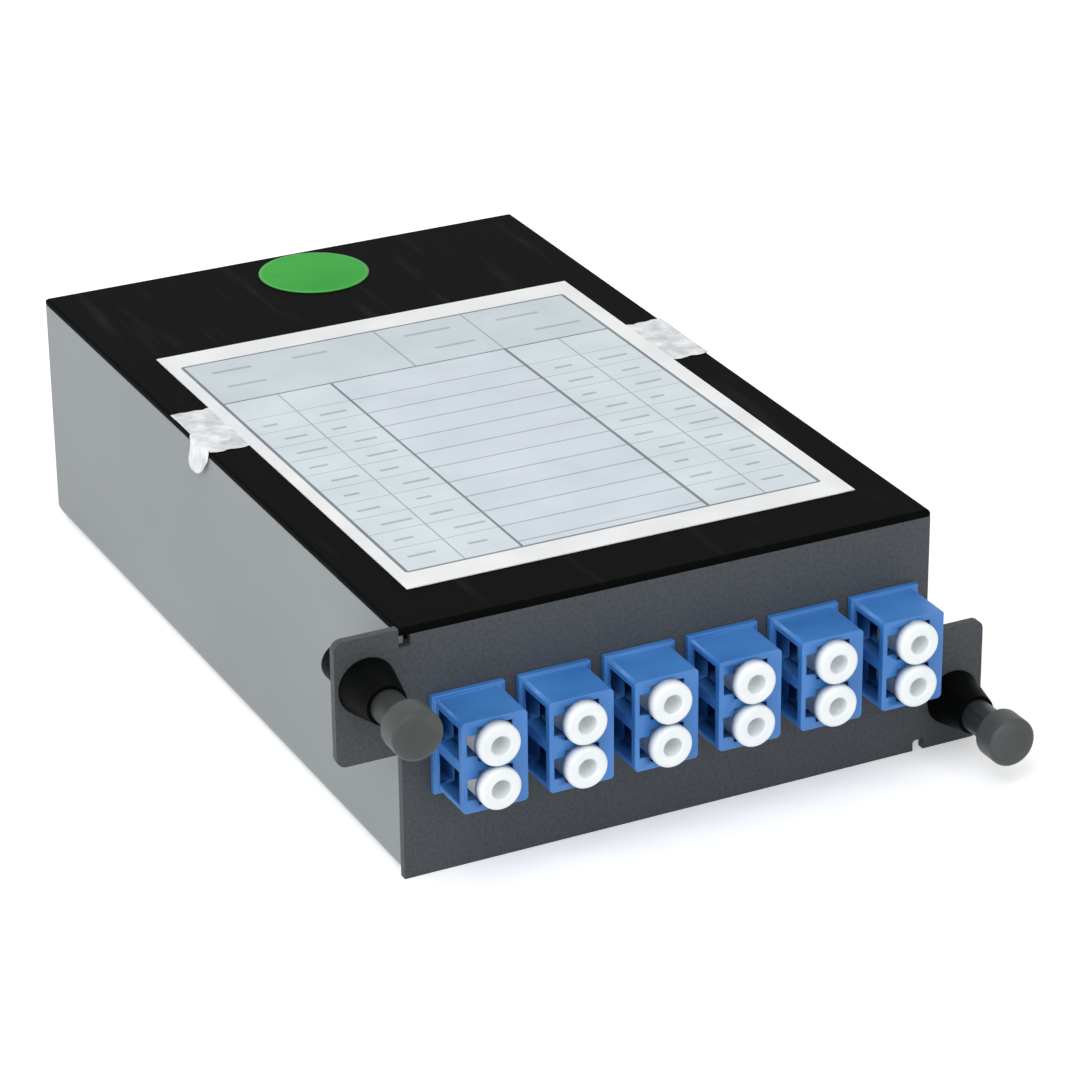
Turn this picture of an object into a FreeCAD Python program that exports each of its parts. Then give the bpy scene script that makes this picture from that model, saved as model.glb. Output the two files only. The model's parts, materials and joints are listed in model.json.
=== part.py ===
import FreeCAD
import Part
import math
import os

# Pre-terminated fibre cassette, in millimetres.
# +X is right, +Y runs from the front panel to the rear wall, +Z is up.
# The origin is the centre of the underside.

# ---- housing -------------------------------------------------------------
body_w = 78.0            # across the side walls
body_d = 127.0           # front face of the panel to the rear face of the rear wall
body_h = 36.0            # underside to the top of the lid
wall_t = 1.2             # folded sheet of the tray
lid_t = 1.0
panel_t = 1.2            # folded sheet of the front panel
bend_r = 1.0             # inner radius of the tray's folds
seat_gap = 0.1           # clearance between pieces that slot together
lip_w = 4.0              # in-turned lips that hold the lid's hooks
lip_l = 14.0
lip_pitch = 70.0         # distance between the two lips of a side
hook_l = 8.0
hook_t = 1.4
hook_barb = 0.8
barb_h = 1.4
lid_edge = 0.3           # chamfer round the top of the lid

# ---- front panel ---------------------------------------------------------
ear_w = 9.0
ear_split = 0.3          # each ear stops this far short of mid-height
ear_r = 1.4              # rounded outer corners of the ears
relief = 1.6             # square relief at the outer root of each ear
flange_l = 10.0          # folded flanges behind the panel
top_flange_l = 7.0

# ---- duplex adapters -----------------------------------------------------
adapter_n = 6
row_gap_left = 2.0       # first adapter to the flange of the panel
row_gap_right = 0.2      # last adapter to the other flange
adapter_w = 9.3
adapter_h = 13.0
adapter_l = 27.0
adapter_proud = 8.5      # in front of the panel
row_shift_z = 0.9        # the row sits a little above mid-height
port_spacing = 6.25
port_w = 4.8
collar_t = 1.0
collar_lip = 0.55
edge_cut = 0.4           # chamfer along the adapter
ramp_t = 0.5             # moulded ramps that snap behind the panel
ramp_l = 3.0
ramp_w = 5.0
slot_w = 2.8             # latch slot beside each port
slot_d = 1.5
window_h = 4.6           # latch window in the side wall
window_l = 6.0
window_inset = 1.1       # from the mouth of the port to the window
holder_l = 7.2           # partition with the sleeves in the middle of the adapter

# ---- dust caps of the duplex ports --------------------------------------
cap_r = 2.95
cap_head_t = 1.8
cap_plug_l = 5.5
cap_plug_gap = 0.15
cap_plug_cut = 0.5       # corners of the plug, which the round head covers
cap_recess_r = 1.3
cap_recess_l = 6.5

# ---- inner duplex plugs --------------------------------------------------
plug_w = 4.5
plug_front_gap = 0.3     # plug housing to the sleeve holder
plug_body_l = 13.6
yoke_w = 6.0
yoke_h = 11.6
yoke_l = 8.0
boot_l = 12.0
boot_root = 4.6
boot_tip_w = 1.8
boot_tip_h = 3.0
lever_t = 0.7
lever_w = 2.4
lever_l = 7.0

# ---- latch plungers ------------------------------------------------------
latch_inset = 6.9        # from the end of the ear to the latch axis
latch_hole_r = 3.1
barrel_gap = 0.05
barrel_step = 0.25       # the split end is smaller, so that it enters a rack's hole
grommet_collar_l = 6.0
grommet_collar_r = 4.0   # against the ear
grommet_nose_r = 2.8     # front end of the collar
barrel_l = 8.0           # behind the front face of the ear
barrel_root_gap = 0.1    # root of the barrel to the back of the ear
barrel_slit = 0.7
shaft_r = 2.3
slide_gap = 0.08
plunger_travel = 5.0
plunger_stop_gap = 0.3
knob_r = 3.5
knob_l = 4.2
shaft_end_gap = 0.5      # end of the shaft to the end of the barrel when pushed home

# ---- rear twelve-fibre port ---------------------------------------------
mpo_w = 9.4
mpo_h = 12.8
mpo_in = 11.2            # depth inside the rear face
mpo_out = 13.0
mpo_port_w = 6.8
mpo_port_h = 10.4
mpo_key_w = 2.6
mpo_key_d = 0.8
mpo_flange_lip = 1.0
mpo_flange_t = 2.0
mpo_nose_gap = 0.2
mpo_nose_setback = 0.6   # end of the nose to the middle of the adapter
collar_wall = 0.9
mpo_collar_gap = 0.1
mpo_collar_l = 8.6
mpo_collar_travel = 1.5
mpo_collar_clear = 0.5   # collar to the adapter
mpo_back_l = 3.0
mpo_boot_l = 11.0
mpo_boot_root_w = 5.0
mpo_boot_root_h = 8.0
mpo_boot_tip_w = 2.4
mpo_boot_tip_h = 4.6
mt_w = 2.5
mt_h = 6.4
mt_l = 8.0
mpo_cap_head = 4.0
mpo_cap_plug_l = 8.0
mpo_cap_wall = 0.9
mpo_cap_gap = 0.15

# ---- fibre harness -------------------------------------------------------
ribbon_t = 0.6
ribbon_h = 3.2
ribbon_drop = 4.4        # coil below the row of ports
coil_turns = 4
coil_outer_r = 24.0
uturn_wall_gap = 5.0     # ribbon to the rear wall at its last turn
fanout_straight = 4.0
fanout_l = 16.0
fanout_w = 13.0
fanout_h = 4.0
lead_t = 0.9
lead_h = 1.8
lead_pitch = 1.9
lead_corner = 4.0        # from each end of a lead to its bend
lead_bend_r = 7.5
leg_l = 6.0
leg_w = 8.0
leg_gap = 1.0            # coil to the leg of the fan-out bracket
foot_l = 10.0
foot_t = 1.2
cheek_t = 1.2
cheek_h = 2.4
guide_posts = 4
guide_post_w = 9.0
guide_t = 1.4
guide_gap = 0.3
guide_base_w = 6.0
guide_base_t = 1.0
guide_finger_t = 1.0
guide_finger_w = 3.0
guide_finger_over = 1.6

# ---- label and sticker ---------------------------------------------------
label_t = 0.15
label_margin_x = 5.8
label_margin_front = 10.0
label_margin_rear = 30.5
tab_y = 6.0
tab_l = 16.0
tongue_l = 8.0
tongue_shift = -2.0
tongue_drop = 4.5
sticker_r = 8.4
sticker_x = 1.0
sticker_margin = 1.0     # sticker to the rear edge of the lid

# ---- places worked out from the sizes -----------------------------------
V = FreeCAD.Vector
front_y = -body_d / 2
rear_y = body_d / 2
rear_inner_y = rear_y - wall_t
panel_back_y = front_y + panel_t
rim_z = body_h - lid_t
side_x = body_w / 2
inner_x = side_x - wall_t

flange_inner_x = inner_x - seat_gap - panel_t
row_l = 2 * flange_inner_x - row_gap_left - row_gap_right
adapter_pitch = (row_l - adapter_w) / (adapter_n - 1)
row_x = (row_gap_left - row_gap_right) / 2
row_z = body_h / 2 + row_shift_z
adapter_x = [row_x + (i - (adapter_n - 1) / 2) * adapter_pitch for i in range(adapter_n)]
port_z = [row_z + port_spacing / 2, row_z - port_spacing / 2]
adapter_front_y = front_y - adapter_proud
adapter_rear_y = adapter_front_y + adapter_l
adapter_mid_y = (adapter_front_y + adapter_rear_y) / 2
holder_front_y = adapter_mid_y - holder_l / 2
holder_rear_y = adapter_mid_y + holder_l / 2

plug_front_y = holder_rear_y + plug_front_gap
yoke_front_y = plug_front_y + plug_body_l
boot_front_y = yoke_front_y + yoke_l
boot_end_y = boot_front_y + boot_l

latch_x = side_x + ear_w / 2
latches = {"left": (-latch_x, body_h - latch_inset), "right": (latch_x, latch_inset)}
root_r = latch_hole_r - barrel_gap
barrel_r = root_r - barrel_step
grommet_front_y = front_y - grommet_collar_l
knob_back_y = grommet_front_y - plunger_travel - plunger_stop_gap
knob_front_y = knob_back_y - knob_l

ribbon_z = row_z - ribbon_drop
coil_inner_r = coil_outer_r - coil_turns * ribbon_t
run_r = coil_outer_r - ribbon_t / 2
uturn_r = run_r / 2
uturn_y = rear_inner_y - uturn_wall_gap - uturn_r - ribbon_t / 2
fanout_rear_y = uturn_y - fanout_straight
fanout_front_y = fanout_rear_y - fanout_l
leg_front_y = fanout_rear_y - leg_l
coil_y = leg_front_y - leg_gap - coil_outer_r
mpo_x = run_r
mpo_front_y = rear_y - mpo_in
mpo_rear_y = rear_y + mpo_out
mpo_mid_y = (mpo_front_y + mpo_rear_y) / 2
nose_end_y = mpo_mid_y - mpo_nose_setback
nose_start_y = mpo_front_y - mpo_collar_clear - mpo_collar_l - mpo_collar_travel - mpo_collar_gap
nose_w = mpo_port_w - 2 * mpo_nose_gap
nose_h = mpo_port_h - 2 * mpo_nose_gap
mpo_boot_y = nose_start_y - mpo_back_l
mpo_boot_end_y = mpo_boot_y - mpo_boot_l


def box(x0, x1, y0, y1, z0, z1):
    """Block between two corners."""
    return Part.makeBox(x1 - x0, y1 - y0, z1 - z0, V(x0, y0, z0))


def block(x, w, y0, y1, z, h):
    """Block centred on x and z, running from y0 to y1."""
    return box(x - w / 2, x + w / 2, y0, y1, z - h / 2, z + h / 2)


def rod(x, z, r, y0, y1):
    """Round bar along Y."""
    return Part.makeCylinder(r, y1 - y0, V(x, y0, z), V(0, 1, 0))


def turned(x, z, profile):
    """Solid turned about a Y axis at x, z from (radius, y) points."""
    points = [V(x + r, y, z) for r, y in profile]
    face = Part.Face(Part.makePolygon(points + points[:1]))
    return face.revolve(V(x, 0, z), V(0, 1, 0), 360)


def rect_wire(x, y, z, w, h):
    """Upright rectangle facing Y."""
    a = V(x - w / 2, y, z - h / 2)
    b = V(x + w / 2, y, z - h / 2)
    c = V(x + w / 2, y, z + h / 2)
    d = V(x - w / 2, y, z + h / 2)
    return Part.makePolygon([a, b, c, d, a])


def taper(x, z, root_y, root, tip_y, tip):
    """Straight-sided taper along Y between two (width, height) ends."""
    w0, h0 = root
    w1, h1 = tip
    length = abs(tip_y - root_y)
    half_x = (-w0 / 2, -w1 / 2, w0 / 2, w1 / 2)
    half_z = (-h0 / 2, -h1 / 2, h0 / 2, h1 / 2)
    wedge = Part.makeWedge(
        half_x[0], 0, half_z[0], half_z[1], half_x[1], half_x[2], length, half_z[2], half_z[3], half_x[3]
    )
    if tip_y < root_y:
        wedge.rotate(V(0, 0, 0), V(0, 0, 1), 180)
    wedge.translate(V(x, root_y, z))
    return wedge


def fused(shapes):
    """One solid from pieces that touch or overlap."""
    whole = shapes[0].multiFuse(shapes[1:]) if len(shapes) > 1 else shapes[0]
    return whole.removeSplitter()


def edges_along(shape, direction, keep):
    """Straight edges along a unit vector whose middle passes the test."""
    found = []
    for edge in shape.Edges:
        ends = edge.Vertexes
        if len(ends) != 2:
            continue
        run = ends[1].Point - ends[0].Point
        if run.Length > 1e-6 and abs(abs(run.dot(direction)) - run.Length) < 1e-6:
            if keep((ends[0].Point + ends[1].Point) * 0.5):
                found.append(edge)
    return found


def tray():
    """Folded sheet tray: floor, side walls, rear wall and in-turned lips."""
    shell = box(-side_x, side_x, panel_back_y, rear_y, 0, rim_z)
    inside = box(-inner_x, inner_x, panel_back_y, rear_inner_y, wall_t, rim_z)
    outer_r = bend_r + wall_t
    bottom = edges_along(shell, V(0, 1, 0), lambda p: p.z < wall_t)
    bottom += edges_along(shell, V(1, 0, 0), lambda p: p.z < wall_t and p.y > 0)
    shell = shell.makeFillet(outer_r, bottom)
    floor_edges = edges_along(inside, V(0, 1, 0), lambda p: p.z < 2 * wall_t)
    floor_edges += edges_along(inside, V(1, 0, 0), lambda p: p.z < 2 * wall_t and p.y > 0)
    inside = inside.makeFillet(bend_r, floor_edges)
    shell = shell.cut(inside)
    lips = []
    for side in (-1, 1):
        for y in (-lip_pitch / 2, lip_pitch / 2):
            x = side * (inner_x - lip_w / 2)
            lips.append(block(x, lip_w, y - lip_l / 2, y + lip_l / 2, rim_z - wall_t / 2, wall_t))
    shell = fused([shell] + lips)
    cut_w = mpo_w + 2 * seat_gap
    cut_h = mpo_h + 2 * seat_gap
    return shell.cut(block(mpo_x, cut_w, rear_inner_y, rear_y, ribbon_z, cut_h))


def lid():
    """Moulded lid with four hooks that snap under the tray's lips."""
    plate = box(-side_x, side_x, front_y, rear_y, rim_z, body_h)
    rim = edges_along(plate, V(0, 1, 0), lambda p: p.z > rim_z + lid_t / 2)
    rim += edges_along(plate, V(1, 0, 0), lambda p: p.z > rim_z + lid_t / 2)
    plate = plate.makeChamfer(lid_edge, rim)
    pieces = [plate]
    lip_x = inner_x - lip_w
    under_lip = rim_z - wall_t - seat_gap
    for side in (-1, 1):
        for y in (-lip_pitch / 2, lip_pitch / 2):
            y0 = y - hook_l / 2
            y1 = y + hook_l / 2
            stem_x = side * (lip_x - 2 * seat_gap - hook_t / 2)
            stem_h = rim_z - (under_lip - barb_h)
            pieces.append(block(stem_x, hook_t, y0, y1, rim_z - stem_h / 2, stem_h))
            pieces.append(hook_barb_wedge(side, lip_x - 2 * seat_gap, y0, y1, under_lip))
    return fused(pieces)


def hook_barb_wedge(side, root_x, y0, y1, top_z):
    """Wedge on the foot of a lid hook: flat on top, sloping below."""
    reach = hook_barb + 2 * seat_gap
    a = V(side * root_x, y0, top_z)
    b = V(side * (root_x + reach), y0, top_z)
    c = V(side * root_x, y0, top_z - barb_h)
    return Part.Face(Part.makePolygon([a, b, c, a])).extrude(V(0, y1 - y0, 0))


def ear(side):
    """Ear of the front panel: the left one is the upper half, the right one the lower half."""
    z0 = body_h / 2 + ear_split if side < 0 else 0
    z1 = body_h if side < 0 else body_h / 2 - ear_split
    x0 = min(side * side_x, side * (side_x + ear_w))
    plate = box(x0, x0 + ear_w, front_y, panel_back_y, z0, z1)
    corners = edges_along(plate, V(0, 1, 0), lambda p: abs(p.x) > side_x + ear_w / 2)
    return plate.makeFillet(ear_r, corners)


def front_panel():
    """Folded sheet panel with its two ears, six cut-outs and rear flanges."""
    plate = box(-side_x, side_x, front_y, panel_back_y, 0, rim_z)
    pieces = [plate, ear(-1), ear(1)]
    flange_x = flange_inner_x + panel_t / 2
    z0 = wall_t + bend_r
    z1 = rim_z - panel_t
    for side in (-1, 1):
        x = side * flange_x
        pieces.append(box(x - panel_t / 2, x + panel_t / 2, panel_back_y, panel_back_y + flange_l, z0, z1))
    top_x = flange_x - 2 * panel_t
    pieces.append(box(-top_x, top_x, panel_back_y, panel_back_y + top_flange_l, z1, rim_z))
    panel = fused(pieces)
    cuts = []
    for x in adapter_x:
        w = adapter_w + 2 * seat_gap
        cuts.append(block(x, w, front_y, panel_back_y, row_z, adapter_h + 2 * seat_gap))
    for x, z in latches.values():
        cuts.append(rod(x, z, latch_hole_r, front_y, panel_back_y))
    cuts.append(box(side_x - relief, side_x, front_y, panel_back_y, 0, relief))
    cuts.append(box(-side_x, relief - side_x, front_y, panel_back_y, rim_z - relief, rim_z))
    return panel.cut(Part.makeCompound(cuts))


def snap_ramp(x, z, side, y, way):
    """Wedge on the top or bottom of an adapter, with its steep face at y against the sheet."""
    x0 = x - ramp_w / 2
    a = V(x0, y, z)
    b = V(x0, y, z + side * ramp_t)
    c = V(x0, y + way * ramp_l, z)
    return Part.Face(Part.makePolygon([a, b, c, a])).extrude(V(ramp_w, 0, 0))


def port_cuts(x, z):
    """Both mouths of one port with their latch slots, and the latch window of the front one."""
    cuts = [block(x, port_w, adapter_front_y, holder_front_y, z, port_w)]
    cuts.append(block(x, port_w, holder_rear_y, adapter_rear_y, z, port_w))
    slot_x = x - port_w / 2 - slot_d / 2
    slot_l = window_inset + window_l
    front_slot = (adapter_front_y, adapter_front_y + slot_l)
    rear_slot = (adapter_rear_y - slot_l, adapter_rear_y)
    for y0, y1 in (front_slot, rear_slot):
        cuts.append(block(slot_x, slot_d, y0, y1, z, slot_w))
    window_y = adapter_front_y + window_inset
    cuts.append(block(x - adapter_w / 2, adapter_w - port_w, window_y, window_y + window_l, z, window_h))
    return cuts


def lc_adapter(x):
    """Duplex adapter: two ports one above the other, latch windows on the left.

    The sleeves are one with the partition between the front and rear mouths.
    """
    shell = block(x, adapter_w, adapter_front_y, adapter_rear_y, row_z, adapter_h)
    shell = shell.makeChamfer(edge_cut, edges_along(shell, V(0, 1, 0), lambda p: True))
    collar_w = adapter_w + 2 * collar_lip
    collar_h = adapter_h + 2 * collar_lip
    collar = block(x, collar_w, front_y - collar_t, front_y, row_z, collar_h)
    ramp_y = panel_back_y + seat_gap
    ramps = [snap_ramp(x, row_z + side * adapter_h / 2, side, ramp_y, 1) for side in (-1, 1)]
    body = fused([shell, collar] + ramps)
    cuts = []
    for z in port_z:
        cuts += port_cuts(x, z)
    return body.cut(Part.makeCompound(cuts))


def dust_cap(x, z):
    """Round-headed cap with a square plug, cut at its corners, and a deep recess."""
    head = rod(x, z, cap_r, adapter_front_y - cap_head_t, adapter_front_y)
    plug_side = port_w - 2 * cap_plug_gap
    plug = block(x, plug_side, adapter_front_y, adapter_front_y + cap_plug_l, z, plug_side)
    plug = plug.makeChamfer(cap_plug_cut, edges_along(plug, V(0, 1, 0), lambda p: True))
    recess_y = adapter_front_y - cap_head_t
    return fused([head, plug]).cut(rod(x, z, cap_recess_r, recess_y, recess_y + cap_recess_l))


def lc_plug(x):
    """Duplex plug inside the housing: two noses, a yoke, latch levers and one boot."""
    pieces = [block(x, yoke_w, yoke_front_y, boot_front_y, row_z, yoke_h)]
    for z in port_z:
        pieces.append(block(x, plug_w, plug_front_y, yoke_front_y, z, plug_w))
        lever_x = x - plug_w / 2 - lever_t / 2
        pieces.append(block(lever_x, lever_t, yoke_front_y - lever_l, yoke_front_y, z, lever_w))
    tip = (boot_tip_w, boot_tip_h)
    pieces.append(taper(x, row_z, boot_front_y, (boot_root, boot_root), boot_end_y, tip))
    return fused(pieces)


def latch_grommet(x, z):
    """Snap-in latch body: tapered collar in front of the ear, slit barrel behind it."""
    bore_r = shaft_r + slide_gap
    root_end_y = panel_back_y - barrel_root_gap
    profile = [
        (bore_r, grommet_front_y),
        (grommet_nose_r, grommet_front_y),
        (grommet_collar_r, front_y),
        (root_r, front_y),
        (root_r, root_end_y),
        (barrel_r, root_end_y),
        (barrel_r, front_y + barrel_l),
        (bore_r, front_y + barrel_l),
    ]
    slit_y = panel_back_y + panel_t
    slit = block(x, barrel_slit, slit_y, front_y + barrel_l, z, 3 * barrel_r)
    return turned(x, z, profile).cut(slit)


def latch_plunger(x, z):
    """Push-pull plunger: knob on a shaft that spreads the barrel when pushed home."""
    shaft_end_y = front_y + barrel_l - plunger_travel - shaft_end_gap
    profile = [
        (0, knob_front_y),
        (knob_r, knob_front_y),
        (knob_r, knob_back_y),
        (shaft_r, knob_back_y),
        (shaft_r, shaft_end_y),
        (0, shaft_end_y),
    ]
    return turned(x, z, profile)


def mpo_adapter():
    """Rear adapter: body through the wall, flange outside it, ramps inside, keyed port through."""
    body = block(mpo_x, mpo_w, mpo_front_y, mpo_rear_y, ribbon_z, mpo_h)
    body = body.makeChamfer(edge_cut, edges_along(body, V(0, 1, 0), lambda p: True))
    flange_w = mpo_w + 2 * mpo_flange_lip
    flange_h = mpo_h + 2 * mpo_flange_lip
    flange = block(mpo_x, flange_w, rear_y, rear_y + mpo_flange_t, ribbon_z, flange_h)
    ramp_y = rear_inner_y - seat_gap
    ramps = [snap_ramp(mpo_x, ribbon_z + side * mpo_h / 2, side, ramp_y, -1) for side in (-1, 1)]
    cuts = [block(mpo_x, mpo_port_w, mpo_front_y, mpo_rear_y, ribbon_z, mpo_port_h)]
    key_x = mpo_x - mpo_port_w / 2 - mpo_key_d / 2
    cuts.append(block(key_x, mpo_key_d, mpo_front_y, mpo_rear_y, ribbon_z, mpo_key_w))
    return fused([body, flange] + ramps).cut(Part.makeCompound(cuts))


def mpo_plug():
    """Inner twelve-fibre plug: nose in the adapter, key and square back."""
    nose = block(mpo_x, nose_w, nose_start_y, nose_end_y, ribbon_z, nose_h)
    back_w = mpo_w - 2 * collar_wall
    back = block(mpo_x, back_w, mpo_boot_y, nose_start_y, ribbon_z, mpo_h - 2 * collar_wall)
    pocket = block(mpo_x, mt_w, nose_end_y - mt_l, nose_end_y, ribbon_z, mt_h)
    return fused([nose, back]).cut(pocket)


def mt_ferrule():
    """Rectangular twelve-fibre ferrule that fills the plug's pocket."""
    return block(mpo_x, mt_w, nose_end_y - mt_l, nose_end_y, ribbon_z, mt_h)


def mpo_collar():
    """Sliding collar round the plug's nose: pulled back, it frees the plug."""
    y1 = mpo_front_y - mpo_collar_clear
    y0 = y1 - mpo_collar_l
    hole_w = nose_w + 2 * mpo_collar_gap
    hole_h = nose_h + 2 * mpo_collar_gap
    outer_w = hole_w + 2 * collar_wall
    outer_h = hole_h + 2 * collar_wall
    outer = block(mpo_x, outer_w, y0, y1, ribbon_z, outer_h)
    outer = outer.makeChamfer(edge_cut, edges_along(outer, V(0, 1, 0), lambda p: True))
    return outer.cut(block(mpo_x, hole_w, y0, y1, ribbon_z, hole_h))


def mpo_boot():
    """Tapered strain relief behind the inner plug."""
    root = (mpo_boot_root_w, mpo_boot_root_h)
    tip = (mpo_boot_tip_w, mpo_boot_tip_h)
    return taper(mpo_x, ribbon_z, mpo_boot_y, root, mpo_boot_end_y, tip)


def mpo_dust_cap():
    """Pull-off cap of the rear port: solid head, hollow plug."""
    head = block(mpo_x, mpo_w, mpo_rear_y, mpo_rear_y + mpo_cap_head, ribbon_z, mpo_h)
    rim = edges_along(head, V(0, 1, 0), lambda p: True)
    head = head.makeChamfer(edge_cut, rim)
    cap_plug_w = mpo_port_w - 2 * mpo_cap_gap
    cap_plug_h = mpo_port_h - 2 * mpo_cap_gap
    plug = block(mpo_x, cap_plug_w, mpo_rear_y - mpo_cap_plug_l, mpo_rear_y, ribbon_z, cap_plug_h)
    hollow_w = cap_plug_w - 2 * mpo_cap_wall
    hollow_h = cap_plug_h - 2 * mpo_cap_wall
    hollow = block(mpo_x, hollow_w, mpo_rear_y - mpo_cap_plug_l, mpo_rear_y, ribbon_z, hollow_h)
    return fused([head, plug]).cut(hollow)


def ring_sector(x, y, r0, r1, z0, z1, start_deg, sweep_deg):
    """Part of a flat ring about a vertical axis."""
    points = [V(x + r0, y, z0), V(x + r1, y, z0), V(x + r1, y, z1), V(x + r0, y, z1)]
    face = Part.Face(Part.makePolygon(points + points[:1]))
    solid = face.revolve(V(x, y, 0), V(0, 0, 1), sweep_deg)
    solid.rotate(V(x, y, 0), V(0, 0, 1), start_deg)
    return solid


def ribbon_cable():
    """Twelve-fibre ribbon on edge: run from the rear plug, coil, rise and last turn."""
    half_h = ribbon_h / 2
    low = (ribbon_z - half_h, ribbon_z + half_h)
    high = (row_z - half_h, row_z + half_h)
    coil = ring_sector(0, coil_y, coil_inner_r, coil_outer_r, *low, 0, 360)
    run_in = block(mpo_x, ribbon_t, coil_y, mpo_boot_end_y, ribbon_z, ribbon_h)
    foot = Part.Face(rect_wire(-run_r, coil_y, ribbon_z, ribbon_t, ribbon_h))
    rise = foot.extrude(V(0, uturn_y - coil_y, row_z - ribbon_z))
    r0 = uturn_r - ribbon_t / 2
    r1 = uturn_r + ribbon_t / 2
    uturn = ring_sector(-uturn_r, uturn_y, r0, r1, *high, 0, 180)
    run_out = block(0, ribbon_t, fanout_rear_y, uturn_y, row_z, ribbon_h)
    return fused([coil, run_in, rise, uturn, run_out])


def fanout_block():
    """Block in which the ribbon divides into six two-fibre leads."""
    body = block(0, fanout_w, fanout_front_y, fanout_rear_y, row_z, fanout_h)
    return body.makeChamfer(edge_cut, edges_along(body, V(0, 1, 0), lambda p: True))


def fanout_bracket():
    """Stand that carries the fan-out block above the floor."""
    seat_z = row_z - fanout_h / 2
    y0 = leg_front_y
    y1 = fanout_rear_y
    pieces = [box(-leg_w / 2, leg_w / 2, y0, y1, wall_t, seat_z)]
    pieces.append(box(-leg_w, leg_w, y0, y0 + foot_l, wall_t, wall_t + foot_t))
    half = fanout_w / 2 + seat_gap
    shelf_x = half + cheek_t
    pieces.append(box(-shelf_x, shelf_x, y0, y1, seat_z - cheek_t, seat_z))
    for side in (-1, 1):
        x = side * (half + cheek_t / 2)
        pieces.append(box(x - cheek_t / 2, x + cheek_t / 2, y0, y1, seat_z - cheek_t, seat_z + cheek_h))
    return fused(pieces)


def fibre_guide():
    """Cross-shaped base with four posts whose fingers hold the coil."""
    low_z = ribbon_z - ribbon_h / 2 - guide_gap
    high_z = ribbon_z + ribbon_h / 2 + guide_gap
    top_z = high_z + guide_finger_t
    post_r1 = math.sqrt((coil_inner_r - guide_gap) ** 2 - guide_post_w**2 / 4)
    post_r0 = post_r1 - guide_t
    finger_r = coil_outer_r + guide_finger_over
    half_base = guide_base_w / 2
    half_finger = guide_finger_w / 2
    half_post = guide_post_w / 2
    arms = []
    for i in range(guide_posts):
        arm = [box(0, post_r1, -half_base, half_base, wall_t, wall_t + guide_base_t)]
        arm.append(box(post_r0, post_r1, -half_post, half_post, wall_t, top_z))
        for z0 in (low_z - guide_finger_t, high_z):
            arm.append(box(post_r0, finger_r, -half_finger, half_finger, z0, z0 + guide_finger_t))
        angle = (i + 0.5) * 360 / guide_posts
        for piece in arm:
            piece.rotate(V(0, 0, 0), V(0, 0, 1), angle)
            piece.translate(V(0, coil_y, 0))
        arms += arm
    return fused(arms)


def bend(before, corner, after, radius):
    """Ends and middle of the arc that rounds a corner between two straight runs."""
    into = (corner - before).normalize()
    out = (after - corner).normalize()
    turn = into.getAngle(out)
    reach = radius * math.tan(turn / 2)
    inward = (out - into).normalize()
    middle = corner + inward * (radius / math.cos(turn / 2) - radius)
    return corner - into * reach, middle, corner + out * reach


def lead_path(x0, x1, y0, y1):
    """Centre line of a lead in the plane of the port row, square to both ends."""
    start = V(x0, y0, row_z)
    end = V(x1, y1, row_z)
    if abs(x1 - x0) < 0.01:
        return Part.Wire([Part.LineSegment(start, end).toShape()])
    near = V(x0, y0 + lead_corner, row_z)
    far = V(x1, y1 - lead_corner, row_z)
    a0, a_mid, a1 = bend(start, near, far, lead_bend_r)
    b0, b_mid, b1 = bend(near, far, end, lead_bend_r)
    runs = [
        Part.LineSegment(start, a0),
        Part.Arc(a0, a_mid, a1),
        Part.LineSegment(a1, b0),
        Part.Arc(b0, b_mid, b1),
        Part.LineSegment(b1, end),
    ]
    return Part.Wire([run.toShape() for run in runs])


def fibre_lead(i):
    """Two-fibre lead on edge, from a plug's boot to its place in the fan-out block."""
    x_plug = adapter_x[i]
    x_block = (i - (adapter_n - 1) / 2) * lead_pitch
    path = lead_path(x_plug, x_block, boot_end_y, fanout_front_y)
    section = rect_wire(x_plug, boot_end_y, row_z, lead_t, lead_h)
    return path.makePipeShell([section], True, False)


def label():
    """Paper label on the lid with a tab on each side folded down as a seal."""
    x1 = side_x - label_margin_x
    y0 = front_y + label_margin_front
    y1 = rear_y - label_margin_rear
    top = body_h + label_t
    pieces = [box(-x1, x1, y0, y1, body_h, top)]
    out_x = side_x + label_t
    tongue_y = tab_y + tongue_shift
    for side in (-1, 1):
        a = min(side * x1, side * side_x)
        pieces.append(box(a, a + label_margin_x, tab_y - tab_l / 2, tab_y + tab_l / 2, body_h, top))
        b = min(side * side_x, side * out_x)
        y = tongue_y - tongue_l / 2
        pieces.append(box(b, b + label_t, y, y + tongue_l, body_h - tongue_drop, top))
    return fused(pieces)


def round_sticker():
    """Round coloured sticker at the back edge of the lid."""
    y = rear_y - sticker_margin - sticker_r
    return Part.makeCylinder(sticker_r, label_t, V(sticker_x, y, body_h))


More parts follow.
